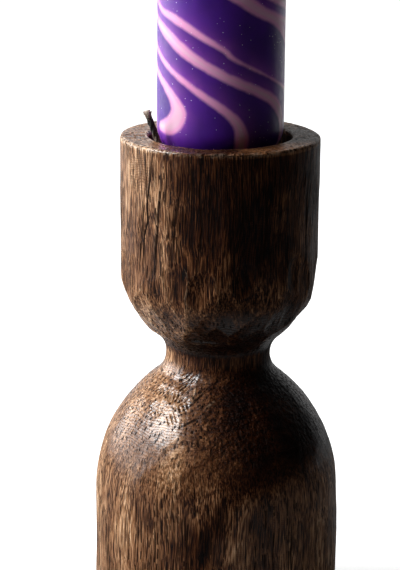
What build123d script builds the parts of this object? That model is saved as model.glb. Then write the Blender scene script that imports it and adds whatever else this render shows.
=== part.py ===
"""Carved wooden pricket candle stand with a marbled pillar candle.

Millimetres, +Z up. The origin is the middle of the foot, on the table.
The outside of the wood is one turned outline: a straight cup wall, a rounded underside,
a hollow neck and a dome, every arc tangent to the next one.
"""
import os
from math import atan2, cos, degrees, radians, sin, sqrt

from build123d import *

# Candle
CANDLE_RADIUS = 25.0
CANDLE_LENGTH = 100.0
CANDLE_FOOT_ROUND = 13.5
CANDLE_TOP_ROUND = 4.0

# Wick
WICK_RADIUS = 1.1
WICK_BORE_CLEARANCE = 0.05
WICK_SHOWING = 10.0
WICK_TIP_CHAMFER = 0.3

# Socket and cup
SOCKET_CLEARANCE = 3.8      # gap all round the candle
SOCKET_DEPTH = 10.0
RIM_WIDTH = 10.5
RIM_OUTER_ROUND = 1.0
RIM_INNER_ROUND = 0.7
CUP_HEIGHT = 88.5           # neck joint to rim
CUP_UNDER_ROUND = 34.0

# Neck
NECK_HEIGHT = 111.5         # table to the narrowest place, where the two wooden pieces meet
NECK_RADIUS = 21.0
NECK_HOLLOW_ROUND = 9.8

# Lower body
BODY_RADIUS = 49.5
DOME_ROUND = 60.0
FOOT_EDGE_ROUND = 3.0

# Felt under the foot
FELT_THICKNESS = 3.0
FELT_PROUD = 1.2            # how far the felt stands out of the wood
FELT_MARGIN = 8.0           # wood left round the felt's recess
FELT_CLEARANCE = 0.5

# Dowel in the neck
DOWEL_RADIUS = 10.0
DOWEL_LENGTH = 50.0
DOWEL_CLEARANCE = 0.1
DOWEL_END_GAP = 1.0
DOWEL_CHAMFER = 1.2
GLUE_FLUTE_RADIUS = 0.8
GLUE_FLUTE_COUNT = 12

# Drip plate in the socket
PLATE_THICKNESS = 1.2
PLATE_LIP = 2.5
PLATE_CLEARANCE = 0.5
PLATE_HOLE_CLEARANCE = 0.1

# Pricket
SPIKE_WIDTH = 5.0
SPIKE_POINT_WIDTH = 0.8
SPIKE_LENGTH = 28.0
SPIKE_CLEARANCE = 0.4       # room round the spike in the candle
COLLAR_RADIUS = 4.5
COLLAR_HEIGHT = 2.0
COLLAR_CHAMFER = 0.4
TANG_RADIUS = 2.3
TANG_LENGTH = 24.0
TANG_CLEARANCE = 0.05
TANG_END_GAP = 1.0
TANG_CHAMFER = 1.2

# Burnt end of an earlier wick, standing in the gap and leaning on the socket's edge
SPENT_WICK_LEAN = 23.0      # degrees off upright
SPENT_WICK_BEARING = 210.0  # degrees round from +X
SPENT_WICK_LENGTH = 22.7
SPENT_WICK_CLEARANCE = 0.05

# Places worked out from the sizes above
SOCKET_RADIUS = CANDLE_RADIUS + SOCKET_CLEARANCE
CUP_RADIUS = SOCKET_RADIUS + RIM_WIDTH
RIM_Z = NECK_HEIGHT + CUP_HEIGHT
SOCKET_FLOOR_Z = RIM_Z - SOCKET_DEPTH
PLATE_TOP_Z = SOCKET_FLOOR_Z + PLATE_THICKNESS
COLLAR_TOP_Z = PLATE_TOP_Z + COLLAR_HEIGHT
SPIKE_POINT_Z = COLLAR_TOP_Z + SPIKE_LENGTH
CANDLE_TOP_Z = PLATE_TOP_Z + CANDLE_LENGTH
WOOD_FOOT_Z = FELT_PROUD
FELT_RECESS_RADIUS = BODY_RADIUS - FELT_MARGIN
FELT_RECESS_TOP_Z = FELT_THICKNESS
DOWEL_HOLE_RADIUS = DOWEL_RADIUS + DOWEL_CLEARANCE
DOWEL_HOLE_DEPTH = DOWEL_LENGTH / 2 + DOWEL_END_GAP
TANG_FOOT_Z = SOCKET_FLOOR_Z - TANG_LENGTH
SPIKE_HOLE_TOP_Z = SPIKE_POINT_Z + SPIKE_CLEARANCE
SPIKE_HOLE_FOOT_RADIUS = SPIKE_WIDTH / sqrt(2) + SPIKE_CLEARANCE
SPIKE_HOLE_TOP_RADIUS = SPIKE_POINT_WIDTH / sqrt(2) + SPIKE_CLEARANCE
COLLAR_RECESS_RADIUS = COLLAR_RADIUS + SPIKE_CLEARANCE
COLLAR_RECESS_TOP_Z = COLLAR_TOP_Z + SPIKE_CLEARANCE

os.makedirs("parts", exist_ok=True)


def keep(piece, name):
    """Label a finished piece and write it as its own STEP file."""
    piece.part.label = name
    export_step(piece.part, f"parts/{name}.step")
    print(f"{name}: {len(piece.part.solids())} solid, {piece.part.volume / 1000:.2f} cm3")


# The outline's arcs: each is found from the neck's arc, which touches both of its neighbours
neck_centre = (NECK_RADIUS + NECK_HOLLOW_ROUND, NECK_HEIGHT)
cup_run = neck_centre[0] - (CUP_RADIUS - CUP_UNDER_ROUND)
cup_rise = sqrt((CUP_UNDER_ROUND + NECK_HOLLOW_ROUND) ** 2 - cup_run**2)
cup_lean = degrees(atan2(cup_rise, cup_run))
cup_centre = (CUP_RADIUS - CUP_UNDER_ROUND, NECK_HEIGHT + cup_rise)
dome_run = neck_centre[0] - (BODY_RADIUS - DOME_ROUND)
dome_drop = sqrt((DOME_ROUND + NECK_HOLLOW_ROUND) ** 2 - dome_run**2)
dome_lean = degrees(atan2(dome_drop, dome_run))
dome_centre = (BODY_RADIUS - DOME_ROUND, NECK_HEIGHT - dome_drop)

# Wood blank: the whole outline turned about +Z, before it is cut at the neck
with BuildPart() as wood_blank:
    with BuildSketch(Plane.XZ):
        with BuildLine():
            dome_arc = CenterArc(dome_centre, DOME_ROUND, 0, dome_lean)
            neck_arc = CenterArc(neck_centre, NECK_HOLLOW_ROUND, 180 - cup_lean, cup_lean + dome_lean)
            cup_arc = CenterArc(cup_centre, CUP_UNDER_ROUND, -cup_lean, cup_lean)
            Polyline(dome_arc @ 0, (BODY_RADIUS, WOOD_FOOT_Z), (0, WOOD_FOOT_Z), (0, RIM_Z),
                     (CUP_RADIUS, RIM_Z), cup_arc @ 1)
        make_face()
    revolve(axis=Axis.Z)

# Lower body: dome and drum, bored for the dowel and recessed for the felt
with BuildPart() as stand_body:
    add(wood_blank.part)
    split(bisect_by=Plane.XY.offset(NECK_HEIGHT), keep=Keep.BOTTOM)
    fillet(stand_body.faces().sort_by(Axis.Z)[0].edges(), FOOT_EDGE_ROUND)
    with BuildSketch(Plane.XY.offset(WOOD_FOOT_Z)):
        Circle(FELT_RECESS_RADIUS)
    extrude(amount=FELT_RECESS_TOP_Z - WOOD_FOOT_Z, mode=Mode.SUBTRACT)
    with Locations(Plane.XY.offset(NECK_HEIGHT)):
        Hole(DOWEL_HOLE_RADIUS, depth=DOWEL_HOLE_DEPTH)
keep(stand_body, "stand_body")

# Cup: bored for the dowel from below, with the candle's socket and the tang's hole above
with BuildPart() as candle_cup:
    add(wood_blank.part)
    split(bisect_by=Plane.XY.offset(NECK_HEIGHT), keep=Keep.TOP)
    with BuildSketch(Plane.XY.offset(NECK_HEIGHT)):
        Circle(DOWEL_HOLE_RADIUS)
    extrude(amount=DOWEL_HOLE_DEPTH, mode=Mode.SUBTRACT)
    with Locations(Plane.XY.offset(RIM_Z)):
        Hole(SOCKET_RADIUS, depth=SOCKET_DEPTH)
    rim_edges = candle_cup.faces().sort_by(Axis.Z)[-1].edges().sort_by(SortBy.RADIUS)
    fillet(rim_edges[0], RIM_INNER_ROUND)
    fillet(candle_cup.faces().sort_by(Axis.Z)[-1].edges().sort_by(SortBy.RADIUS)[-1], RIM_OUTER_ROUND)
    with Locations(Plane.XY.offset(SOCKET_FLOOR_Z)):
        Hole(TANG_RADIUS + TANG_CLEARANCE, depth=TANG_LENGTH + TANG_END_GAP)
keep(candle_cup, "candle_cup")

# Dowel: glued half in each wooden piece, fluted so that the glue can spread
with BuildPart() as neck_dowel:
    with BuildSketch(Plane.XY.offset(NECK_HEIGHT - DOWEL_LENGTH / 2)):
        Circle(DOWEL_RADIUS)
    extrude(amount=DOWEL_LENGTH)
    chamfer(neck_dowel.edges().filter_by(GeomType.CIRCLE), DOWEL_CHAMFER)
    with BuildSketch(Plane.XY.offset(NECK_HEIGHT - DOWEL_LENGTH / 2)):
        with PolarLocations(DOWEL_RADIUS, GLUE_FLUTE_COUNT):
            Circle(GLUE_FLUTE_RADIUS)
    extrude(amount=DOWEL_LENGTH, mode=Mode.SUBTRACT)
keep(neck_dowel, "neck_dowel")

# Felt: a disc let into the foot, which the stand rests on
with BuildPart() as felt_pad:
    with BuildSketch(Plane.XY):
        Circle(FELT_RECESS_RADIUS - FELT_CLEARANCE)
    extrude(amount=FELT_THICKNESS)
keep(felt_pad, "felt_pad")

# Drip plate: a thin iron tray on the socket's floor, under the pricket's collar
plate_radius = SOCKET_RADIUS - PLATE_CLEARANCE
with BuildPart() as drip_plate:
    with BuildSketch(Plane.XY.offset(SOCKET_FLOOR_Z)):
        Circle(plate_radius)
    extrude(amount=PLATE_THICKNESS + PLATE_LIP)
    with BuildSketch(Plane.XY.offset(PLATE_TOP_Z)):
        Circle(plate_radius - PLATE_THICKNESS)
    extrude(amount=PLATE_LIP, mode=Mode.SUBTRACT)
    with Locations(Plane.XY.offset(PLATE_TOP_Z)):
        Hole(TANG_RADIUS + PLATE_HOLE_CLEARANCE, depth=PLATE_THICKNESS)
keep(drip_plate, "drip_plate")

# Pricket: four-sided spike, a collar that clamps the plate, and a round tang in the cup
with BuildPart() as pricket:
    with BuildSketch(Plane.XY.offset(TANG_FOOT_Z)):
        Circle(TANG_RADIUS)
    extrude(amount=TANG_LENGTH + PLATE_THICKNESS)
    chamfer(pricket.edges().group_by(Axis.Z)[0], TANG_CHAMFER)
    with BuildSketch(Plane.XY.offset(PLATE_TOP_Z)):
        Circle(COLLAR_RADIUS)
    extrude(amount=COLLAR_HEIGHT)
    chamfer(pricket.edges().group_by(Axis.Z)[-1], COLLAR_CHAMFER)
    with BuildSketch(Plane.XY.offset(COLLAR_TOP_Z)):
        Rectangle(SPIKE_WIDTH, SPIKE_WIDTH)
    with BuildSketch(Plane.XY.offset(SPIKE_POINT_Z)):
        Rectangle(SPIKE_POINT_WIDTH, SPIKE_POINT_WIDTH)
    loft()
keep(pricket, "pricket")

# Candle: a pillar with a well rounded foot, pierced for the pricket and cored for its wick
foot_round = min(CANDLE_FOOT_ROUND, CANDLE_RADIUS - COLLAR_RECESS_RADIUS)
with BuildPart() as candle:
    with BuildSketch(Plane.XZ):
        with BuildLine():
            Polyline((COLLAR_RECESS_RADIUS, PLATE_TOP_Z), (CANDLE_RADIUS - foot_round, PLATE_TOP_Z))
            CenterArc((CANDLE_RADIUS - foot_round, PLATE_TOP_Z + foot_round), foot_round, -90, 90)
            Line((CANDLE_RADIUS, PLATE_TOP_Z + foot_round), (CANDLE_RADIUS, CANDLE_TOP_Z - CANDLE_TOP_ROUND))
            CenterArc((CANDLE_RADIUS - CANDLE_TOP_ROUND, CANDLE_TOP_Z - CANDLE_TOP_ROUND),
                      CANDLE_TOP_ROUND, 0, 90)
            Polyline((CANDLE_RADIUS - CANDLE_TOP_ROUND, CANDLE_TOP_Z),
                     (WICK_RADIUS + WICK_BORE_CLEARANCE, CANDLE_TOP_Z),
                     (WICK_RADIUS + WICK_BORE_CLEARANCE, SPIKE_HOLE_TOP_Z),
                     (SPIKE_HOLE_TOP_RADIUS, SPIKE_HOLE_TOP_Z),
                     (SPIKE_HOLE_FOOT_RADIUS, COLLAR_RECESS_TOP_Z),
                     (COLLAR_RECESS_RADIUS, COLLAR_RECESS_TOP_Z),
                     (COLLAR_RECESS_RADIUS, PLATE_TOP_Z))
        make_face()
    revolve(axis=Axis.Z)
keep(candle, "candle")

# Wick: cast in the candle's core, from above the pricket's hole to clear of the top
with BuildPart() as candle_wick:
    with BuildSketch(Plane.XY.offset(SPIKE_HOLE_TOP_Z)):
        Circle(WICK_RADIUS)
    extrude(amount=CANDLE_TOP_Z + WICK_SHOWING - SPIKE_HOLE_TOP_Z)
    chamfer(candle_wick.edges().group_by(Axis.Z)[-1], WICK_TIP_CHAMFER)
keep(candle_wick, "candle_wick")

# Spent wick: its foot stands on the plate and its side leans on the socket's edge
lean = radians(SPENT_WICK_LEAN)
bearing = radians(SPENT_WICK_BEARING)
edge_distance = WICK_RADIUS + RIM_INNER_ROUND + SPENT_WICK_CLEARANCE
edge_point_radius = SOCKET_RADIUS + RIM_INNER_ROUND - edge_distance * cos(lean)
edge_point_z = RIM_Z - RIM_INNER_ROUND + edge_distance * sin(lean)
spent_foot_radius = edge_point_radius - (edge_point_z - PLATE_TOP_Z) * sin(lean) / cos(lean)
spent_foot = Vector(spent_foot_radius * cos(bearing), spent_foot_radius * sin(bearing), PLATE_TOP_Z)
spent_direction = Vector(sin(lean) * cos(bearing), sin(lean) * sin(bearing), cos(lean))
with BuildPart() as spent_wick:
    with BuildSketch(Plane(origin=spent_foot - spent_direction * WICK_RADIUS, z_dir=spent_direction)):
        Circle(WICK_RADIUS)
    extrude(amount=SPENT_WICK_LENGTH + WICK_RADIUS)
    chamfer(spent_wick.faces().sort_by(Axis.Z)[-1].edges(), WICK_TIP_CHAMFER)
    split(bisect_by=Plane.XY.offset(PLATE_TOP_Z), keep=Keep.TOP)
keep(spent_wick, "spent_wick")
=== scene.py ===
import math

import bpy
import numpy as np
from mathutils import Matrix, Vector


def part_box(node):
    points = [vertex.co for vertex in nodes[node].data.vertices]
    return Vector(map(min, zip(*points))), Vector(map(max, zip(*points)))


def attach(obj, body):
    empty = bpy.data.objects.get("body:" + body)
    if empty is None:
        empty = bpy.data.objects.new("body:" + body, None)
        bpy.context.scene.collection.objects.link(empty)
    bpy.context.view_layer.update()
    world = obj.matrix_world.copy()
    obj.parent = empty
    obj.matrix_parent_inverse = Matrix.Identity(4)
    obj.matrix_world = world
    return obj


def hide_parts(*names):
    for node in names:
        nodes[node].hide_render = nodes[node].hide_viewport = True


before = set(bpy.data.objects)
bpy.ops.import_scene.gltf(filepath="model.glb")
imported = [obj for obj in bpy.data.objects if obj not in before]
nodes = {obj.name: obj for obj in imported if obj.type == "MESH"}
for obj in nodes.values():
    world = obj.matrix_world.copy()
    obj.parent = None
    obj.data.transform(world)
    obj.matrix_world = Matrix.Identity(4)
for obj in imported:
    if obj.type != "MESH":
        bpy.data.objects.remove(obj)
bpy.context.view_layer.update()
scene = bpy.context.scene
mm = 0.001
fullTurn = 2 * math.pi
smoothAngle = math.radians(48)
print("frame loaded:", ", ".join(sorted(nodes)))


def put(tree, kind, inputs=None, **settings):
    node = tree.nodes.new(kind)
    for name, value in settings.items():
        setattr(node, name, value)
    for key, value in (inputs or {}).items():
        if isinstance(value, bpy.types.NodeSocket):
            tree.links.new(value, node.inputs[key])
        else:
            node.inputs[key].default_value = value
    return node


def calc(tree, operation, *values):
    return put(tree, "ShaderNodeMath", dict(enumerate(values)), operation=operation).outputs[0]


def times(tree, *values):
    product = values[0]
    for value in values[1:]:
        product = calc(tree, "MULTIPLY", product, value)
    return product


def timesPlus(tree, value, factor, addend):
    return calc(tree, "MULTIPLY_ADD", value, factor, addend)


def vector(tree, operation, *values):
    node = put(tree, "ShaderNodeVectorMath", dict(enumerate(values)), operation=operation)
    single = operation in ("DOT_PRODUCT", "LENGTH", "DISTANCE")
    return node.outputs["Value" if single else "Vector"]


def scaled(tree, value, amount):
    return put(tree, "ShaderNodeVectorMath", {0: value, "Scale": amount},
               operation="SCALE").outputs["Vector"]


def ramp(tree, value, low, high, start=0.0, end=1.0):
    node = put(tree, "ShaderNodeMapRange", {"Value": value, "From Min": low, "From Max": high,
                                            "To Min": start, "To Max": end},
                                            interpolation_type="SMOOTHSTEP")
    return node.outputs["Result"]


def noise(tree, place, scale=1.0, detail=2.0, roughness=0.5, output="Fac"):
    node = put(tree, "ShaderNodeTexNoise", {"Vector": place, "Scale": scale, "Detail": detail,
                                            "Roughness": roughness})
    return node.outputs[output]


def parts(tree, value):
    return put(tree, "ShaderNodeSeparateXYZ", {0: value}).outputs


def crossFade(tree, factor, first, second):
    return put(tree, "ShaderNodeMix", {0: factor, 2: first, 3: second}, data_type="FLOAT").outputs[0]


def attribute(tree, name, output="Fac"):
    return put(tree, "ShaderNodeAttribute", attribute_name=name).outputs[output]


def bumped(tree, surface, height, strength, distance, **more):
    bump = put(tree, "ShaderNodeBump", {"Height": height, "Strength": strength, "Distance": distance,
                                        **more})
    tree.links.new(bump.outputs[0], surface["Normal"])


def stored(tree, geometry, name, value):
    return put(tree, "GeometryNodeStoreNamedAttribute",
               {"Geometry": geometry, "Name": name, "Value": value},
               data_type="FLOAT", domain="POINT").outputs[0]


def shifted(tree, geometry, offset):
    return put(tree, "GeometryNodeSetPosition", {"Geometry": geometry, "Offset": offset}).outputs[0]


def finishTree(tree, geometry, given, out):
    whole = put(tree, "GeometryNodeRealizeInstances", {"Geometry": geometry}).outputs[0]
    dressed = put(tree, "GeometryNodeSetMaterial", {"Geometry": whole, "Material": given["Material"]})
    tree.links.new(dressed.outputs[0], out["Geometry"])
    return tree


def mixed(tree, factor, first, second, blend="MIX"):
    node = put(tree, "ShaderNodeMix", data_type="RGBA", blend_type=blend)
    for socket, value in ((node.inputs[0], factor), (node.inputs[6], first), (node.inputs[7], second)):
        if isinstance(value, bpy.types.NodeSocket):
            tree.links.new(value, socket)
        else:
            socket.default_value = value
    return node.outputs[2]


def newGroup(name, kind, inputs, outputs):
    tree = bpy.data.node_groups.new(name, kind)
    for direction, sockets in (("INPUT", inputs), ("OUTPUT", outputs)):
        for label, socketKind, value in sockets:
            socket = tree.interface.new_socket(name=label, in_out=direction,
                                               socket_type="NodeSocket" + socketKind)
            if value is not None:
                socket.default_value = value
    return tree, tree.nodes.new("NodeGroupInput").outputs, tree.nodes.new("NodeGroupOutput").inputs


def newMaterial(name):
    material = bpy.data.materials.new(name)
    material.use_nodes = True
    tree = material.node_tree
    return material, tree, tree.nodes["Principled BSDF"].inputs


def applyTree(piece, tree, values):
    modifier = piece.modifiers.new(tree.name, "NODES")
    modifier.node_group = tree
    for item in tree.interface.items_tree:
        if item.item_type == "SOCKET" and item.in_out == "INPUT" and item.name in values:
            modifier[item.identifier] = values[item.name]


def settle(piece, name):
    bpy.context.view_layer.update()
    mesh = bpy.data.meshes.new_from_object(piece.evaluated_get(bpy.context.evaluated_depsgraph_get()))
    mesh.name = name
    bpy.data.objects.remove(piece)
    return addPiece(name, mesh)


def addPiece(name, data):
    piece = bpy.data.objects.new(name, data)
    scene.collection.objects.link(piece)
    if isinstance(data, bpy.types.Mesh):
        data.polygons.foreach_set("use_smooth", [True] * len(data.polygons))
        data.set_sharp_from_angle(angle=smoothAngle)
    return piece


def straight(start, end, step):
    count = max(1, round(math.dist(start, end) / step))
    return [(start[0] + (end[0] - start[0]) * i / count, start[1] + (end[1] - start[1]) * i / count)
            for i in range(count)]


def arc(centre, radius, first, last, step):
    count = max(2, round(abs(math.radians(last - first)) * radius / step))
    turns = [math.radians(first + (last - first) * i / count) for i in range(count)]
    return [(centre[0] + radius * math.cos(t), centre[1] + radius * math.sin(t)) for t in turns]


def latheMesh(name, stretches, sides, ring):
    rows = np.array([point for points, outer in stretches for point in points])
    shown = np.array([outer for points, outer in stretches for point in points], float)
    slope = np.zeros_like(rows)
    breaks = [0, *(np.flatnonzero(np.diff(shown)) + 1), len(rows)]
    # the direction of each run of rows, seen or hidden, on its own
    for first, last in zip(breaks, breaks[1:]):
        if last - first > 1:
            slope[first:last] = np.gradient(rows[first:last], axis=0)
    normal = np.stack([-slope[:, 1], slope[:, 0]], 1)
    normal /= np.linalg.norm(normal, axis=1)[:, None] + 1e-12
    turn = np.arange(sides) * 2 * np.pi / sides
    points, pushes, starts = [], [], []
    for (radius, height), (outward, upward), outer in zip(rows, normal, shown):
        angles = turn if radius > 1e-7 else turn[:1]
        starts.append((sum(len(p) for p in points), len(angles)))
        points.append(np.stack([radius * np.cos(angles), radius * np.sin(angles),
                                np.full(len(angles), height)], 1))
        pushes.append(outer * np.stack([outward * np.cos(angles), outward * np.sin(angles),
                                        np.full(len(angles), upward)], 1))
    faces = []
    pairs = list(zip(starts, starts[1:])) + ([(starts[-1], starts[0])] if ring else [])
    for (a, countA), (b, countB) in pairs:
        for i in range(sides):
            j = (i + 1) % sides
            if countA > 1 and countB > 1:
                faces.append((a + i, b + i, b + j, a + j))
            elif countA > 1:
                faces.append((a + i, b, a + j))
            elif countB > 1:
                faces.append((a, b + i, b + j))
    mesh = bpy.data.meshes.new(name)
    mesh.from_pydata(np.concatenate(points).tolist(), [], faces)
    push = mesh.attributes.new("push", "FLOAT_VECTOR", "POINT")
    push.data.foreach_set("vector", np.concatenate(pushes).ravel())
    return mesh


def keep(mesh, name, values):
    mesh.attributes.new(name, "FLOAT", "POINT").data.foreach_set("value", values)


def pointsOf(mesh):
    return np.array([v.co for v in mesh.vertices])


def pushOf(mesh):
    push = np.zeros(len(mesh.vertices) * 3)
    mesh.attributes["push"].data.foreach_get("vector", push)
    return push.reshape(-1, 3)


def knifeTree():
    tree, given, out = newGroup("knifeCuts", "GeometryNodeTree", [
        ("Geometry", "Geometry", None), ("Passes", "Int", 8), ("Spacing", "Float", 0.02),
        ("Half Width", "Float", 0.006), ("Half Length", "Float", 0.01), ("Depth", "Float", 0.0004),
        ("Turn", "Float", 0.3), ("Low", "Float", 0.0), ("High", "Float", 1.0), ("Seam", "Float", 0.1115),
        ("Seam Reach", "Float", 0.004), ("Stop", "Float", -1.0), ("Teeth", "Float", 0.0),
        ("Around", "Vector", None), ("Within", "Float", 1.0), ("Seed", "Int", 1),
        ("Material", "Material", None)], [("Geometry", "Geometry", None)])
    push = put(tree, "GeometryNodeInputNamedAttribute", {"Name": "push"},
               data_type="FLOAT_VECTOR").outputs[0]
    place = put(tree, "GeometryNodeInputPosition").outputs[0]
    height = parts(tree, place)["Z"]
    cut = put(tree, "GeometryNodeInputNamedAttribute", {"Name": "cut"}, data_type="FLOAT").outputs[0]
    blank = stored(tree, given["Geometry"], "cut", 0.0)
    begin = tree.nodes.new("GeometryNodeRepeatInput")
    end = tree.nodes.new("GeometryNodeRepeatOutput")
    begin.pair_with_output(end)
    tree.links.new(given["Passes"], begin.inputs["Iterations"])
    tree.links.new(blank, begin.inputs["Geometry"])
    wood = begin.outputs["Geometry"]
    seed = timesPlus(tree, begin.outputs["Iteration"], 13.0, given["Seed"])
    inside = times(tree, calc(tree, "GREATER_THAN", height, given["Low"]),
                   calc(tree, "LESS_THAN", height, given["High"]))
    inside = times(tree, inside, calc(tree, "LESS_THAN", vector(tree, "DISTANCE", place, given["Around"]),
                                      given["Within"]))
    onOutside = times(tree, inside, calc(tree, "GREATER_THAN", vector(tree, "LENGTH", push), 0.5))
    density = calc(tree, "DIVIDE", 6.0, calc(tree, "POWER", given["Spacing"], 2.0))
    marks = put(tree, "GeometryNodeDistributePointsOnFaces",
                {"Mesh": wood, "Selection": onOutside, "Distance Min": given["Spacing"],
                 "Density Max": density, "Seed": seed}, distribute_method="POISSON").outputs["Points"]
    nearest = put(tree, "GeometryNodeSampleNearest", {"Geometry": marks}, domain="POINT").outputs["Index"]

    def ofMark(value, kind):
        return put(tree, "GeometryNodeSampleIndex", {"Geometry": marks, "Value": value, "Index": nearest},
                   data_type=kind, domain="POINT").outputs[0]

    def chance(offset):
        value = put(tree, "FunctionNodeRandomValue", {"Seed": calc(tree, "ADD", seed, offset)},
                    data_type="FLOAT")
        return ofMark(value.outputs[1], "FLOAT")

    centre = ofMark(place, "FLOAT_VECTOR")
    facing = vector(tree, "NORMALIZE", ofMark(push, "FLOAT_VECTOR"))
    upright = (0.0, 0.0, 1.0)
    lean = vector(tree, "DOT_PRODUCT", facing, upright)
    lengthwise = vector(tree, "NORMALIZE", vector(tree, "SUBTRACT", upright, scaled(tree, facing, lean)))
    angle = times(tree, timesPlus(tree, chance(3.0), 2.0, -1.0), given["Turn"])
    stroke = put(tree, "ShaderNodeVectorRotate", {"Vector": lengthwise, "Axis": facing, "Angle": angle},
                 rotation_type="AXIS_ANGLE").outputs[0]
    gap = vector(tree, "SUBTRACT", place, centre)
    across = vector(tree, "DOT_PRODUCT", gap, vector(tree, "CROSS_PRODUCT", facing, stroke))
    down = vector(tree, "DOT_PRODUCT", gap, stroke)
    wide = calc(tree, "DIVIDE", across, given["Half Width"])
    long = calc(tree, "DIVIDE", down, given["Half Length"])
    bowl = calc(tree, "SUBTRACT", 1.0, calc(tree, "POWER", wide, 2.0))
    bowl = calc(tree, "SUBTRACT", bowl, calc(tree, "POWER", long, 2.0))
    # a nicked edge leaves parallel bars, Teeth apart, inside each cut
    bars = calc(tree, "COSINE", calc(tree, "DIVIDE", across, calc(tree, "MAXIMUM", given["Teeth"], 1e-5)))
    bars = times(tree, timesPlus(tree, bars, -0.5, 0.5), calc(tree, "GREATER_THAN", given["Teeth"], 0.0))
    bowl = times(tree, bowl, calc(tree, "SUBTRACT", 1.0, bars))
    depth = times(tree, given["Depth"], timesPlus(tree, chance(7.0), 0.55, 0.45))
    depth = times(tree, depth, bowl, vector(tree, "LENGTH", facing))
    carved = stored(tree, wood, "cut", calc(tree, "MAXIMUM", cut, depth))
    tree.links.new(carved, end.inputs["Geometry"])
    fromSeam = calc(tree, "ABSOLUTE", calc(tree, "SUBTRACT", height, given["Seam"]))
    fade = ramp(tree, fromSeam, 0.0, given["Seam Reach"])
    fade = times(tree, fade, ramp(tree, calc(tree, "SUBTRACT", height, given["Stop"]), 0.0, 0.0012))
    inward = times(tree, cut, fade, -1.0)
    moved = shifted(tree, end.outputs["Geometry"], scaled(tree, push, inward))
    return finishTree(tree, moved, given, out)


def fibreTree():
    tree, given, out = newGroup("raisedFibres", "GeometryNodeTree", [
        ("Geometry", "Geometry", None), ("Wave Height", "Float", 0.0004), ("Wave Size", "Float", 0.04),
        ("Fibre Height", "Float", 0.0001), ("Fibre Width", "Float", 0.0016),
        ("Fibre Length", "Float", 0.03),
        ("Lift", "Float", 0.0), ("Seam", "Float", 0.1115), ("Material", "Material", None)],
        [("Geometry", "Geometry", None)])
    push = put(tree, "GeometryNodeInputNamedAttribute", {"Name": "push"},
               data_type="FLOAT_VECTOR").outputs[0]
    place = put(tree, "GeometryNodeInputPosition").outputs[0]
    height = parts(tree, place)["Z"]
    fromSeam = calc(tree, "ABSOLUTE", calc(tree, "SUBTRACT", height, given["Seam"]))
    wave = noise(tree, scaled(tree, place, calc(tree, "DIVIDE", 1.0, given["Wave Size"])), detail=1.0)
    along = put(tree, "ShaderNodeCombineXYZ", {"X": given["Fibre Width"], "Y": given["Fibre Width"],
                                               "Z": given["Fibre Length"]}).outputs[0]
    fibre = noise(tree, vector(tree, "DIVIDE", place, along), detail=2.0)
    inward = times(tree, ramp(tree, wave, 0.3, 0.7), given["Wave Height"])
    inward = timesPlus(tree, ramp(tree, fibre, 0.3, 0.7), given["Fibre Height"], inward)
    lifted = times(tree, given["Lift"], ramp(tree, fromSeam, 0.010, 0.030))
    outward = calc(tree, "SUBTRACT", lifted, inward)
    moved = shifted(tree, given["Geometry"], scaled(tree, push, outward))
    blurred = put(tree, "GeometryNodeBlurAttribute", {"Value": place, "Iterations": 3},
                  data_type="FLOAT_VECTOR").outputs[0]
    arris = vector(tree, "DOT_PRODUCT", vector(tree, "SUBTRACT", place, blurred), push)
    arris = times(tree, arris, 2e4, ramp(tree, fromSeam, 0.0015, 0.004))
    return finishTree(tree, stored(tree, moved, "arris", arris), given, out)


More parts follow.
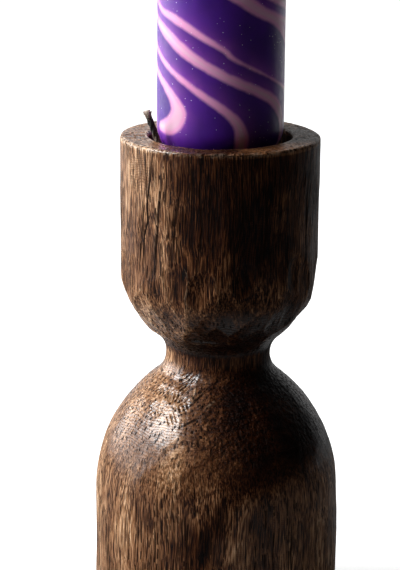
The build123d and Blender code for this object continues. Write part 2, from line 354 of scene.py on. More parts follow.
def grainGroup():
    tree, given, out = newGroup("woodGrain", "ShaderNodeTree", [
        ("Place", "Vector", None), ("End Grain", "Float", 0.0), ("Fibre Width", "Float", 0.00038),
        ("Fibre Length", "Float", 0.0078), ("Streak Width", "Float", 0.0034),
        ("Streak Length", "Float", 0.045), ("Pore Gap", "Float", 0.00105),
        ("Pore Length", "Float", 0.0052), ("Pit Gap", "Float", 0.0018),
        ("Ring Gap", "Float", 0.0026)],
        [("Tone", "Float", None), ("Pore", "Float", None), ("Mottle", "Float", None),
         ("Height", "Float", None)])
    place = given["Place"]
    drift = noise(tree, place, 22.0, 2.0, 0.5, "Color")
    drift = vector(tree, "MULTIPLY", vector(tree, "SUBTRACT", drift, (0.5, 0.5, 0.5)),
                   (0.006, 0.006, 0.0))
    bent = vector(tree, "ADD", place, drift)

    def stretched(width, length, share=1.0):
        size = put(tree, "ShaderNodeCombineXYZ", {"X": width, "Y": width, "Z": length}).outputs[0]
        return vector(tree, "DIVIDE", bent, scaled(tree, size, share))

    def drawn(kind, low, high, share=1.0):
        size = stretched(given[kind + " Width"], given[kind + " Length"], share)
        return ramp(tree, noise(tree, size, detail=2.0), low, high)

    fibre = drawn("Fibre", 0.40, 0.60)
    thread = drawn("Fibre", 0.38, 0.62, 1.6)
    streak = drawn("Streak", 0.34, 0.66)
    mottle = noise(tree, stretched(0.015, 0.034), detail=3.0, roughness=0.6)
    speckle = ramp(tree, noise(tree, bent, 820.0, 3.0, 0.6), 0.33, 0.67)
    level = vector(tree, "MULTIPLY", vector(tree, "ADD", bent, (0.021, -0.034, 0.0)), (1.0, 1.0, 0.0))
    fromPith = vector(tree, "LENGTH", level)
    turns = timesPlus(tree, calc(tree, "DIVIDE", fromPith, given["Ring Gap"]), fullTurn,
                      times(tree, mottle, 9.0))
    rings = timesPlus(tree, calc(tree, "SINE", turns), 0.5, 0.5)

    def pores(gap, length, share, least=0.14, most=0.36):
        spread = scaled(tree, bent, calc(tree, "DIVIDE", 1.0, gap))
        cells = put(tree, "ShaderNodeTexVoronoi", {"Vector": spread, "Scale": 1.0},
                    voronoi_dimensions="2D").outputs
        own = put(tree, "ShaderNodeSeparateColor", {0: cells["Color"]}).outputs
        size = ramp(tree, own["Red"], 0.0, 1.0, least, most)
        hole = ramp(tree, calc(tree, "DIVIDE", cells["Distance"], size), 0.7, 1.0, 1.0, 0.0)
        rise = calc(tree, "DIVIDE", parts(tree, bent)["Z"], length)
        run = put(tree, "ShaderNodeCombineXYZ", {"X": times(tree, own["Green"], 61.0),
                                                 "Y": times(tree, own["Blue"], 47.0),
                                                 "Z": rise}).outputs[0]
        return times(tree, hole, ramp(tree, noise(tree, run, detail=1.0), share, share + 0.05))

    wide = pores(given["Pore Gap"], given["Pore Length"], 0.45)
    small = pores(times(tree, given["Pore Gap"], 0.6), times(tree, given["Pore Length"], 0.6), 0.45)
    pits = pores(given["Pit Gap"], given["Pore Length"], 0.36, 0.16, 0.30)

    def between(side, end):
        return crossFade(tree, given["End Grain"], side, end)

    pore = between(calc(tree, "MAXIMUM", wide, times(tree, small, 0.75)),
                   calc(tree, "MAXIMUM", pits, times(tree, small, 0.55)))
    side = timesPlus(tree, thread, 0.22, timesPlus(tree, fibre, 0.38, 0.10))
    side = timesPlus(tree, rings, 0.08, timesPlus(tree, streak, 0.14, side))
    end = timesPlus(tree, rings, 0.14, timesPlus(tree, speckle, 0.34, 0.28))
    relief = between(timesPlus(tree, fibre, 0.45, times(tree, thread, 0.35)),
                     times(tree, speckle, 0.55))
    tree.links.new(between(side, end), out["Tone"])
    tree.links.new(pore, out["Pore"])
    tree.links.new(mottle, out["Mottle"])
    tree.links.new(calc(tree, "SUBTRACT", relief, times(tree, pore, between(0.8, 1.8))), out["Height"])
    return tree


def placed(tree):
    return put(tree, "ShaderNodeTexCoord").outputs["Object"]


def useGroup(tree, group, **inputs):
    return put(tree, "ShaderNodeGroup", {k.replace("_", " "): v for k, v in inputs.items()},
               node_tree=group).outputs


def toned(tree, value, stops):
    node = put(tree, "ShaderNodeValToRGB", {"Fac": value})
    elements = node.color_ramp.elements
    for element, (position, colour) in zip(elements, (stops[0], stops[-1])):
        element.position, element.color = position, colour
    for position, colour in stops[1:-1]:
        elements.new(position).color = colour
    return node.outputs[0]


stain = {
    "deep": (0.010, 0.0044, 0.0024, 1), "dark": (0.052, 0.020, 0.0080, 1),
    "brown": (0.250, 0.112, 0.044, 1), "tan": (0.62, 0.375, 0.215, 1), "worn": (0.56, 0.37, 0.225, 1),
    "chipped": (0.64, 0.48, 0.35, 1), "fibreBump": 0.85, "chatterBump": 0.7, "chatterGap": 0.0010,
    "chatterLine": 0.75, "sideWax": 0.27, "endWax": 1.0, "waxRoughness": 0.27, "checkHalf": 0.28,
    # painted shade on the front right and in the cove, painted light on the faces turned left, on the
    # rim's left and under the cup, and the candle's painted shadow on the rim's right are set here too
    "paintedShade": 0.90, "coveShadeDepth": 0.55, "coveHeight": 0.1178, "rimWear": 0.75, "leftPaintedLight": 1.25,
    "underWax": 0.65, "lumps": 1.9, "rimPaintedLight": 1.35, "underPaintedLight": 1.22, "leftWax": 0.55, "rimPaintedShadow": 0.72,
    "domeShift": 0.020, "rimWax": 0.9, "tooledAt": (-0.0310, -0.0242, 0.1900),
    # between these heights or places the painted shade, painted light, wear or a shine sets in
    "domeTop": (0.096, 0.122), "domeFoot": (0.056, 0.082), "rimShadeBlend": (0.172, 0.186),
    "shadeFoot": (0.054, 0.080), "shadeBack": (0.002, 0.036), "drumBack": (-0.010, 0.030),
    "coveReach": (0.0024, 0.0042), "leftLightFacing": (-0.95, -0.60), "underSide": (-0.45, -0.10),
    "rimSpan": (-0.012, 0.016), "rightSpan": (-0.022, 0.016), "rubbedSpan": (0.000, 0.024),
    "leftSpan": (-0.036, -0.024), "coatBend": 1.6, "bareShine": 0.03,
    "rimBand": (0.0022, 0.0012),
}


def stainedWood(grain):
    material, tree, surface = newMaterial("stainedWood")
    place = placed(tree)
    facing = parts(tree, attribute(tree, "push", "Vector"))
    arris = attribute(tree, "arris")
    endGrain = ramp(tree, calc(tree, "ABSOLUTE", facing["Z"]), 0.12, 0.55)
    got = useGroup(tree, grain, Place=place, End_Grain=endGrain)
    streaks = toned(tree, got["Tone"], [(0.08, stain["deep"]), (0.23, stain["dark"]),
                                        (0.47, stain["brown"]), (0.84, stain["tan"])])
    # painted shade: the wood is darkened on the front right of the cup, the dome and the drum, turned
    # away from the lamps, and in the cove at the neck
    at = parts(tree, place)
    maskWobble = times(tree, calc(tree, "SUBTRACT", noise(tree, place, 38.0, 3.0), 0.5), 0.04)
    sideways = calc(tree, "ADD", maskWobble, at["X"])
    onDome = times(tree, ramp(tree, at["Z"], *stain["domeTop"], 1.0, 0.0),
                   ramp(tree, at["Z"], *stain["domeFoot"]))
    edge = calc(tree, "ADD", maskWobble, timesPlus(tree, onDome, -stain["domeShift"], at["X"]))
    onRim = ramp(tree, at["Z"], *(wood["rimHeight"] - depth for depth in stain["rimBand"]))
    flat = ramp(tree, timesPlus(tree, maskWobble, -0.6, edge), -0.018, -0.009)
    soft = times(tree, ramp(tree, edge, -0.038, -0.007), ramp(tree, edge, 0.006, 0.034, 1.0, 0.9))
    paintedShade = crossFade(tree, ramp(tree, at["Z"], *stain["rimShadeBlend"], 0.0, 0.6), soft, flat)
    paintedShade = times(tree, paintedShade, ramp(tree, onRim, 0.0, 1.0, 1.0, 0.2))
    backward = calc(tree, "ADD", maskWobble, at["Y"])
    paintedShade = times(tree, paintedShade, ramp(tree, backward, *stain["shadeBack"], 1.0, 0.0))
    paintedShade = times(tree, paintedShade, ramp(tree, at["Z"], *stain["shadeFoot"]))
    # painted shade on the front of the drum too, away from the lamps
    onDrum = times(tree, ramp(tree, edge, -0.034, -0.006), ramp(tree, edge, -0.002, 0.026, 0.98, 0.15))
    paintedShade = calc(tree, "MAXIMUM", paintedShade,
                  times(tree, onDrum, ramp(tree, at["Y"], *stain["drumBack"], 1.0, 0.0)))
    # painted shade in the cove at the neck
    coveShade = ramp(tree, calc(tree, "ABSOLUTE", calc(tree, "SUBTRACT", at["Z"], stain["coveHeight"])),
                 *stain["coveReach"], 1.0, 0.0)
    coveShade = timesPlus(tree, coveShade, -stain["coveShadeDepth"], 1.0)
    paintedShade = times(tree, timesPlus(tree, paintedShade, -stain["paintedShade"], 1.0), coveShade)
    # painted light: faces turned to the left are lightened and greyed
    leftPaintedLight = ramp(tree, timesPlus(tree, maskWobble, 8.0, facing["X"]), *stain["leftLightFacing"], stain["leftPaintedLight"], 1.0)
    under = ramp(tree, facing["Z"], *stain["underSide"], 1.0, 0.0)
    # darker in the hollows of the cuts and lighter on their ridges, more so under the cup: partly stain
    # left in the hollows, partly painted shade and painted light that bring out the facets
    hollowStainAndShade = ramp(tree, arris, -0.8, 1.0, ramp(tree, under, 0.0, 1.0, 0.76, 0.58),
                    ramp(tree, under, 0.0, 1.0, 1.20, 1.50))
    # the painted shade darkens the dark fibres most and leaves the light ones paler
    shadeExponent = times(tree, ramp(tree, got["Tone"], 0.22, 0.72, 0.22, -0.30),
                  ramp(tree, endGrain, 0.0, 1.0, 1.0, 0.3))
    shadeExponent = calc(tree, "ADD", shadeExponent, ramp(tree, got["Mottle"], 0.36, 0.64, 1.22, 0.80))
    shadeOnFibres = calc(tree, "POWER", paintedShade, timesPlus(tree, onDome, 0.35, shadeExponent))
    shade = times(tree, ramp(tree, got["Mottle"], 0.36, 0.64, 0.48, 1.14), hollowStainAndShade, shadeOnFibres)
    # painted light on the rim's left and the candle's painted shadow on the rim's right
    rimLightAndShadow = ramp(tree, sideways, *stain["rimSpan"], stain["rimPaintedLight"], stain["rimPaintedShadow"])
    shade = times(tree, shade, leftPaintedLight, ramp(tree, onRim, 0.0, 1.0, 1.0, rimLightAndShadow))
    # painted light: the faces under the cup are lightened
    shade = times(tree, shade, ramp(tree, under, 0.0, 1.0, 1.0, stain["underPaintedLight"]))
    warm = put(tree, "ShaderNodeCombineColor", {0: shade, 1: calc(tree, "POWER", shade, 1.28),
                                                2: calc(tree, "POWER", shade, 1.55)}).outputs[0]
    patched = mixed(tree, 1.0, streaks, warm, "MULTIPLY")
    rightward = ramp(tree, sideways, *stain["rightSpan"], 1.0, 0.27)
    # the ridges under the cup get more of the worn colour: partly wear, partly painted light that brings
    # out the facets
    sharp = timesPlus(tree, onRim, stain["rimWear"], timesPlus(tree, under, 0.3, arris))
    worn = times(tree, ramp(tree, sharp, 0.75, 2.1, 0.0, 0.85),
                 ramp(tree, noise(tree, place, 420.0, 3.0), 0.36, 0.58))
    check = ramp(tree, calc(tree, "ABSOLUTE", attribute(tree, "checkAway")), stain["checkHalf"],
                 stain["checkHalf"] * 2.4, 1.0, 0.0)
    ragged = ramp(tree, noise(tree, vector(tree, "DIVIDE", place, (0.002, 0.002, 0.007)), detail=2.0),
                  0.30, 0.38)
    check = times(tree, check, ragged, attribute(tree, "checkShare"))
    worn = calc(tree, "MAXIMUM", worn, times(tree, check, -0.8))
    bare = mixed(tree, onRim, stain["worn"], stain["chipped"])
    # painted shade and light: the worn edges show less in the painted shade and fade out towards the
    # right
    worn = times(tree, worn, ramp(tree, paintedShade, 0.1, 0.9, 0.25, 1.0))
    worn = times(tree, worn, rightward)
    rubbed = mixed(tree, worn, patched, bare)
    level = timesPlus(tree, noise(tree, place, 70.0, 2.0), 0.007, at["Z"])
    chatter = calc(tree, "SINE", times(tree, level, fullTurn / stain["chatterGap"]))
    patches = ramp(tree, noise(tree, place, 48.0, 2.0), 0.46, 0.60)
    tooled = ramp(tree, vector(tree, "DISTANCE", place, stain["tooledAt"]), 0.004, 0.013, 0.7, 0.0)
    crossed = calc(tree, "MAXIMUM", endGrain, tooled)
    lines = times(tree, ramp(tree, chatter, 0.3, 0.9), times(tree, crossed, stain["chatterLine"]))
    hollow = calc(tree, "MAXIMUM", times(tree, got["Pore"], 0.93), check)
    hollow = calc(tree, "MAXIMUM", hollow, times(tree, lines, tooled))
    tree.links.new(mixed(tree, hollow, rubbed, stain["deep"]), surface["Base Color"])
    gloss = timesPlus(tree, hollow, 0.3, ramp(tree, endGrain, 0.0, 1.0, 0.56, 0.42))
    tree.links.new(gloss, surface["Roughness"])
    polish = ramp(tree, endGrain, 0.0, 1.0, stain["sideWax"], stain["endWax"])
    polish = times(tree, polish, ramp(tree, onRim, 0.0, 1.0, 1.0,
                                      times(tree, rightward, stain["rimWax"])))
    dull = calc(tree, "SUBTRACT", 1.0, calc(tree, "MAXIMUM", hollow, lines))
    waxed = calc(tree, "MAXIMUM", ramp(tree, paintedShade, 0.06, 0.42, 0.2, 1.0),
                 times(tree, under, stain["underWax"]))
    rubbedDome = times(tree, onDome, ramp(tree, sideways, *stain["rubbedSpan"], 1.0, 0.0))
    dull = times(tree, dull, calc(tree, "MAXIMUM", waxed, rubbedDome))
    # the wax thins out towards the dome's left, where the warm wood shows
    thinned = ramp(tree, sideways, *stain["leftSpan"], stain["leftWax"], 1.0)
    dull = times(tree, dull, ramp(tree, onDome, 0.0, 1.0, 1.0, thinned))
    tree.links.new(times(tree, polish, dull), surface["Coat Weight"])
    surface["Coat Roughness"].default_value = stain["waxRoughness"]
    surface["Coat IOR"].default_value = stain["coatBend"]
    surface["Specular IOR Level"].default_value = stain["bareShine"]
    chatter = times(tree, chatter, calc(tree, "MAXIMUM", times(tree, patches, 0.5), crossed))
    waves = put(tree, "ShaderNodeBump", {"Height": chatter, "Strength": stain["chatterBump"],
                                         "Distance": 0.00012})
    roughened = times(tree, got["Height"], ramp(tree, under, 0.0, 1.0, 1.0, 2.2))
    relief = calc(tree, "SUBTRACT", roughened, check)
    lumps = times(tree, ramp(tree, noise(tree, place, 540.0, 2.0), 0.3, 0.7),
                  times(tree, endGrain, stain["lumps"]))
    relief = timesPlus(tree, lumps, ramp(tree, paintedShade, 0.40, 0.98, 1.0, 0.16), relief)
    bumped(tree, surface, relief, stain["fibreBump"], 0.0005, Normal=waves.outputs[0])
    return material


cupLow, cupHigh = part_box("candle_cup")
bodyLow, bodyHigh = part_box("stand_body")
plateLow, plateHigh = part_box("drip_plate")
feltLow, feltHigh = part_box("felt_pad")
candleLow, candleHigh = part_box("candle")
dowelLow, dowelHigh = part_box("neck_dowel")
tangLow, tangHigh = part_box("pricket")
wood = {
    "cupRadius": cupHigh.x, "cupUnder": 34.0 * mm, "rimHeight": cupHigh.z, "rimOuter": 1.0 * mm,
    "rimInner": 0.7 * mm, "neckRadius": 21.0 * mm, "neckHollow": 9.8 * mm, "coveRound": 10.8 * mm,
    "neckHeight": cupLow.z, "bodyRadius": bodyHigh.x, "domeRound": 60.0 * mm, "footHeight": bodyLow.z,
    "footRound": 3.0 * mm, "socketRadius": 28.8 * mm, "socketFloor": plateLow.z, "dowelHole": 10.1 * mm,
    "dowelGap": 1.0 * mm, "tangHole": 2.35 * mm, "feltRecess": feltHigh.x + 0.5 * mm,
    "feltTop": feltHigh.z, "cupStep": 0.56 * mm, "bodyStep": 0.75 * mm, "nickStep": 0.42 * mm,
    "drumStep": 1.0 * mm, "nickFoot": 33.0, "cupSides": 440, "bodySides": 470,
    "socketStep": 1.2 * mm, "edgeStep": 0.25 * mm, "rimStep": 0.7 * mm, "footStep": 0.5 * mm,
    "cupLift": 0.7 * mm,
}
grain = grainGroup()
stainedWoodMaterial = stainedWood(grain)
knife, fibres = knifeTree(), fibreTree()


def turnedCup(w):
    neck = (w["neckRadius"] + w["neckHollow"], w["neckHeight"])
    run = neck[0] - (w["cupRadius"] - w["cupUnder"])
    rise = math.sqrt((w["cupUnder"] + w["neckHollow"]) ** 2 - run ** 2)
    under = Vector((w["cupRadius"] - w["cupUnder"], w["neckHeight"] + rise))
    # the cove is cut a little wider than the neck's round, so it meets the underside in an arris
    cove = Vector((w["neckRadius"] + w["coveRound"], w["neckHeight"]))
    apart = (cove - under).length
    reach = (apart ** 2 + w["cupUnder"] ** 2 - w["coveRound"] ** 2) / (2 * apart)
    ahead = (cove - under) / apart
    aside = Vector((-ahead.y, ahead.x))
    corner = under + ahead * reach + aside * math.sqrt(w["cupUnder"] ** 2 - reach ** 2)
    underEnd = math.degrees(math.atan2(corner.y - under.y, corner.x - under.x))
    coveStart = math.degrees(math.atan2(corner.y - cove.y, corner.x - cove.x))
    top, floor, step = w["rimHeight"], w["socketFloor"], w["cupStep"]
    tangFoot, dowelTop = tangLow.z - w["dowelGap"], dowelHigh.z + w["dowelGap"]
    mouth = w["socketRadius"] + w["rimInner"]
    edge = w["cupRadius"] - w["rimOuter"]
    return [
        ([(0.0, tangFoot), (w["tangHole"], tangFoot)], False),
        ([(w["tangHole"], floor)], False),
        (straight((w["socketRadius"], floor), (w["socketRadius"], top - w["rimInner"]), w["socketStep"]),
         False),
        (arc((mouth, top - w["rimInner"]), w["rimInner"], 180, 90, w["edgeStep"]), True),
        (straight((mouth, top), (edge, top), w["rimStep"]), True),
        (arc((edge, top - w["rimOuter"]), w["rimOuter"], 90, 0, w["edgeStep"]), True),
        (straight((w["cupRadius"], top - w["rimOuter"]), (w["cupRadius"], under.y), step), True),
        (arc(under, w["cupUnder"], 0, underEnd, step), True),
        (arc(cove, w["coveRound"], coveStart, 180, step) + [(w["neckRadius"], w["neckHeight"])], True),
        ([(w["dowelHole"], w["neckHeight"]), (w["dowelHole"], dowelTop), (0.0, dowelTop)], False),
    ]


def turnedBody(w):
    neck = (w["neckRadius"] + w["neckHollow"], w["neckHeight"])
    run = neck[0] - (w["bodyRadius"] - w["domeRound"])
    drop = math.sqrt((w["domeRound"] + w["neckHollow"]) ** 2 - run ** 2)
    lean = math.degrees(math.atan2(drop, run))
    dome = (w["bodyRadius"] - w["domeRound"], w["neckHeight"] - drop)
    foot, edge, step = w["footHeight"], w["bodyRadius"] - w["footRound"], w["bodyStep"]
    hole = dowelLow.z - w["dowelGap"]
    return [
        ([(0.0, hole), (w["dowelHole"], hole), (w["dowelHole"], w["neckHeight"])], False),
        (arc(neck, w["neckHollow"], 180, 180 + lean, w["nickStep"]), True),
        (arc(dome, w["domeRound"], lean, w["nickFoot"], w["nickStep"]), True),
        (arc(dome, w["domeRound"], w["nickFoot"], 0, step), True),
        (straight((w["bodyRadius"], dome[1]), (w["bodyRadius"], foot + w["footRound"]), w["drumStep"]),
         True),
        (arc((edge, foot + w["footRound"]), w["footRound"], 0, -90, w["footStep"]), True),
        ([(edge, foot), (w["feltRecess"], foot), (w["feltRecess"], w["feltTop"]), (0.0, w["feltTop"])],
         False),
    ]


# half width, half length, depth and turn of each kind of cut, with the heights it is made between
cuts = {
    "cup": [
        {"Passes": 12, "Spacing": 0.044, "Half Width": 0.0092, "Half Length": 0.024, "Depth": 0.00085,
         "Turn": 0.10, "Low": 0.146, "High": 0.188, "Seed": 5},
        {"Passes": 7, "Spacing": 0.018, "Half Width": 0.0058, "Half Length": 0.0098, "Depth": 0.0015,
         "Turn": 0.45, "Low": 0.1215, "High": 0.150, "Stop": 0.1206, "Seed": 41},
        {"Passes": 5, "Spacing": 0.008, "Half Width": 0.0026, "Half Length": 0.0034, "Depth": 0.00030,
         "Turn": 0.8, "Low": 0.1990, "High": 0.201, "Seed": 77},
    ],
    "body": [
        {"Passes": 12, "Spacing": 0.028, "Half Width": 0.0095, "Half Length": 0.0135, "Depth": 0.00042,
         "Turn": 0.5, "Low": 0.058, "High": 0.100, "Seed": 11},
        {"Passes": 3, "Spacing": 0.0085, "Half Width": 0.0034, "Half Length": 0.0030, "Depth": 0.00066,
         "Turn": 1.4, "Low": 0.092, "High": 0.106, "Teeth": 0.00026, "Around": (-0.0165, -0.0230, 0.0985),
         "Within": 0.0125, "Seed": 29},
        {"Passes": 2, "Spacing": 0.0095, "Half Width": 0.0034, "Half Length": 0.0028, "Depth": 0.00055,
         "Turn": 1.4, "Low": 0.090, "High": 0.104, "Teeth": 0.00026, "Around": (0.0080, 0.0300, 0.0960),
         "Within": 0.017, "Seed": 31},
        {"Passes": 12, "Spacing": 0.046, "Half Width": 0.0100, "Half Length": 0.0220, "Depth": 0.00050,
         "Turn": 0.1, "Low": 0.006, "High": 0.060, "Seed": 53},
    ],
}
# checks and scratches: how dark each is, or below 0 how light, then degrees round from the front and
# height in mm of its points
checks = {
    "cup": [
        (1.0, [(-40.5, 199.7), (-40.9, 196.8), (-42.6, 187.6), (-44.4, 179.8), (-44.7, 171.3),
               (-47.4, 166.3), (-50.7, 161.4), (-51.1, 155.5), (-52.9, 148)]),
        (1.0, [(-33.3, 197.3), (-34.2, 185.5), (-35.7, 178.8), (-36.6, 171.8), (-37.6, 167.7),
               (-39.2, 158), (-39.9, 149.8)]),
        (-0.38, [(-34.7, 193), (-35.6, 185.5), (-37.1, 178.8), (-38.0, 171.8), (-39.0, 167.7),
                 (-40.6, 158)]),
        (0.8, [(-21, 187.9), (-24.3, 177.6), (-26.1, 167), (-27, 159.6)]),
        (0.8, [(14, 199), (12.5, 188), (13.6, 175), (11, 163)]),
        (0.9, [(62, 193), (60, 178), (61.5, 160), (58, 147)]),
        (1.0, [(104, 199.7), (105, 187), (102, 172), (103.5, 155)]),
        (0.8, [(133, 183), (131, 169), (132.5, 152)]),
        (1.0, [(171, 199.7), (169, 186), (170.5, 170), (167, 151)]),
        (0.8, [(206, 190), (208, 171), (205.5, 158)]),
        (1.0, [(243, 199.7), (244.5, 184), (241, 167), (242, 149)]),
        (0.8, [(281, 186), (279, 168), (280.5, 155)]),
    ],
    "body": [
        (0.9, [(-26.6, 95), (-19.3, 98), (-8.4, 103.2)]), (0.9, [(-22.6, 90.2), (-12.4, 94.1)]),
        (-0.9, [(-8.3, 97.5), (-1.5, 100)]), (-0.7, [(-19.5, 99.1), (-20.1, 103.6)]),
        (0.9, [(38, 58), (37, 40), (38.5, 22), (37.5, 8)]), (0.8, [(-12, 62), (-13.5, 47), (-12, 30)]),
        (0.9, [(118, 66), (116.5, 45), (118, 24)]), (0.9, [(197, 60), (198.5, 39), (196, 12)]),
        (0.9, [(287, 52), (285.5, 34), (286.5, 9)]), (-0.6, [(150, 84), (161, 90)]),
        (-0.6, [(64, 92), (75, 86)]),
    ],
}


def markChecks(mesh, outline, lines):
    rows = np.array([point for points, outer in outline if outer for point in points])
    rows = rows[np.argsort(rows[:, 1])]
    points, facing = pointsOf(mesh), pushOf(mesh)
    nearest = np.full(len(points), 1e3)
    away, share = np.full(len(points), 1e3), np.zeros(len(points))
    for dark, line in lines:
        turn = np.radians([angle for angle, height in line])
        height = np.array([height for angle, height in line]) * mm
        radius = np.interp(height, rows[:, 1], rows[:, 0])
        path = np.stack([radius * np.sin(turn), -radius * np.cos(turn), height], 1)
        for i, (start, end) in enumerate(zip(path, path[1:])):
            run = end - start
            t = np.clip((points - start) @ run / (run @ run), 0, 1)
            gap = points - start - t[:, None] * run
            gap -= (gap * facing).sum(1)[:, None] * facing
            far = np.linalg.norm(gap, axis=1) / mm
            side = np.sign((gap * np.cross(run, facing)).sum(1))
            along = (i + t) / (len(path) - 1)
            closer = far < nearest
            nearest[closer] = far[closer]
            away[closer] = (far * side)[closer]
            ends = np.clip(4 * along, 0.25, 1) * np.clip(5 * (1 - along), 0, 1)
            share[closer] = (dark * ends * np.clip(1.8 - far, 0, 1))[closer]
    keep(mesh, "checkAway", away)
    keep(mesh, "checkShare", share)


surfaceWave = {"Wave Height": 0.00030, "Wave Size": 0.030, "Fibre Height": 0.00012, "Fibre Width": 0.0018,
               "Fibre Length": 0.022}


def carvedPiece(name, node, outline, sides, strokes, lines, lift):
    blank = latheMesh(name, outline, sides, False)
    markChecks(blank, outline, lines)
    piece = addPiece(name, blank)
    for stroke in strokes:
        applyTree(piece, knife, {**stroke, "Seam": wood["neckHeight"], "Material": stainedWoodMaterial})
    applyTree(piece, fibres, {**surfaceWave, "Lift": lift, "Seam": wood["neckHeight"],
                              "Material": stainedWoodMaterial})
    piece = settle(piece, name)
    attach(piece, "stand")
    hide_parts(node)
    print(name, len(piece.data.polygons), "faces")
    return piece


carvedPiece("carvedCup", "candle_cup", turnedCup(wood), wood["cupSides"], cuts["cup"], checks["cup"],
            wood["cupLift"])
carvedPiece("carvedBody", "stand_body", turnedBody(wood), wood["bodySides"], cuts["body"], checks["body"],
            0.0)

wax = {
    "footRound": 13.5 * mm, "topRound": 4.0 * mm, "bore": 1.15 * mm, "collarHole": 4.9 * mm,
    "collarTop": 2.4 * mm, "spikeFoot": 3.94 * mm, "spikeTop": 0.97 * mm, "spikeHeight": 30.4 * mm,
    "sides": 340, "step": 0.42 * mm, "purple": (0.062, 0.0075, 0.23, 1),
    "violet": (0.022, 0.0025, 0.11, 1), "pink": (0.68, 0.305, 0.53, 1), "blush": (0.67, 0.42, 0.55, 1),
    "haze": (0.34, 0.078, 0.47, 1), "hazeReach": 2.9, "climb": -0.20, "softEdge": 0.85,
    "fleck": (0.95, 0.90, 0.96, 1), "fleckScale": 720.0, "throughWeight": 0.8,
    "throughRadius": (1.0, 0.5, 0.8), "throughScale": 8.0 * mm, "shine": 0.26, "bend": 1.44,
    # how a stream runs on up the candle: degrees a step, mm of sway and swell
    "stride": 26, "sway": 2.2, "swayTurns": 3.1, "swell": 0.7, "fineSteps": 6,
    # each stream of pink wax: degrees round from the front, height in mm, half width in mm
    "streams": [
        [(73, 197, 2.0), (72.3, 204.3, 2.1), (70.3, 208.5, 2.2), (66, 211.8, 2.2), (57.4, 215.6, 2.2),
         (44.4, 219.1, 2.0), (33.9, 221.2, 1.9), (16.4, 224.6, 1.8), (0.5, 227.9, 1.8),
         (-15.3, 231.6, 1.9), (-28, 234.6, 2.1), (-39.5, 237.6, 2.3), (-58, 242.5, 2.2)],
        [(19.6, 192, 2.9), (19.6, 201.9, 2.8), (18.9, 205.4, 2.5), (15.6, 208.9, 2.0), (8.8, 212.1, 1.65),
         (0.8, 215.0, 1.5), (-15.1, 219.5, 1.35), (-32.5, 224.1, 1.15), (-54.8, 229.5, 1.05),
         (-72.9, 233.7, 1.2), (-100, 239.5, 1.5)],
        [(-68, 205.3, 1.7), (-60.5, 205.6, 2.7), (-52.4, 206.4, 3.5), (-45.2, 208.6, 4.0),
         (-41.0, 211.8, 3.9), (-42.9, 214.6, 3.0), (-48.1, 217.8, 2.3), (-55.9, 220.8, 1.8),
         (-65.6, 223.6, 1.5), (-100, 231, 1.7)],
        [(116, 198, 2.4), (115, 209, 2.2), (104, 214.5, 1.7), (80, 219.8, 0.7), (56.8, 224.3, 0.28),
         (33.6, 229.1, 0.4), (16.2, 232.9, 0.6), (8.2, 235.1, 0.75), (-0.5, 238.3, 0.9),
         (-40, 247.5, 1.6)],
        [(168, 192, 2.9), (167, 207, 2.7), (152, 216, 2.0), (122, 226, 1.6), (92, 236, 1.9),
         (60, 247, 2.2)],
        [(220, 197, 2.2), (219, 210, 2.6), (205, 216.5, 2.4), (178, 222, 2.2), (150, 229.5, 2.6),
         (118, 239, 3.0)],
        [(271, 190, 3.0), (270, 205, 2.6), (258, 213, 1.9), (232, 219.5, 1.4), (204, 226, 1.5),
         (172, 234, 1.8)],
    ],
}


def streamLine(points, top, climb):
    line = list(points)
    while line[-1][1] < top:
        angle, height, half = line[-1]
        sway = wax["sway"] * math.sin(math.radians(angle * wax["swayTurns"]))
        swollen = max(1.0, half + wax["swell"] * math.sin(angle))
        line.append((angle - wax["stride"], height - wax["stride"] * climb + sway, swollen))
    line = np.array(line, float)
    steps = np.linspace(0, len(line) - 1, (len(line) - 1) * wax["fineSteps"] + 1)
    before = np.clip(np.floor(steps).astype(int), 0, len(line) - 2)
    t = (steps - before)[:, None]
    p0, p1 = line[np.maximum(before - 1, 0)], line[before]
    p2, p3 = line[before + 1], line[np.minimum(before + 2, len(line) - 1)]
    bend = 2 * p0 - 5 * p1 + 4 * p2 - p3
    twist = 3 * p1 - p0 - 3 * p2 + p3
    return 0.5 * (2 * p1 + (p2 - p0) * t + bend * t ** 2 + twist * t ** 3)


def bandMask(points):
    radius = candleHigh.x / mm
    angle = np.degrees(np.arctan2(points[:, 0], -points[:, 1]))
    reach = np.hypot(points[:, 0], points[:, 1]) / mm
    # over the top the streams run on inwards
    overTop = points[:, 2] > candleHigh.z - wax["topRound"]
    height = points[:, 2] / mm + np.where(overTop, radius - reach, 0)
    best, haze = np.full(len(points), 1e3), np.zeros(len(points))
    for stream in wax["streams"]:
        line = streamLine(stream, candleHigh.z / mm + radius + 6, wax["climb"])
        for turn in (-720, -360, 0, 360):
            x, y = np.radians(angle + turn) * radius, height
            near, over = np.full(len(points), 1e3), np.zeros(len(points), bool)
            for (a0, z0, w0), (a1, z1, w1) in zip(line[:-1], line[1:]):
                sx, sy = math.radians(a0) * radius, z0
                dx, dy = math.radians(a1 - a0) * radius, z1 - z0
                t = np.clip(((x - sx) * dx + (y - sy) * dy) / (dx * dx + dy * dy + 1e-9), 0, 1)
                away = np.hypot(x - sx - t * dx, y - sy - t * dy) - (w0 + t * (w1 - w0))
                closer = away < near
                near[closer] = away[closer]
                over[closer] = ((x - sx) * dy - (y - sy) * dx > 0)[closer]
            best = np.minimum(best, near)
            haze = np.maximum(haze, np.where(over, np.exp(-np.maximum(near, 0) / wax["hazeReach"]), 0))
    return best, haze


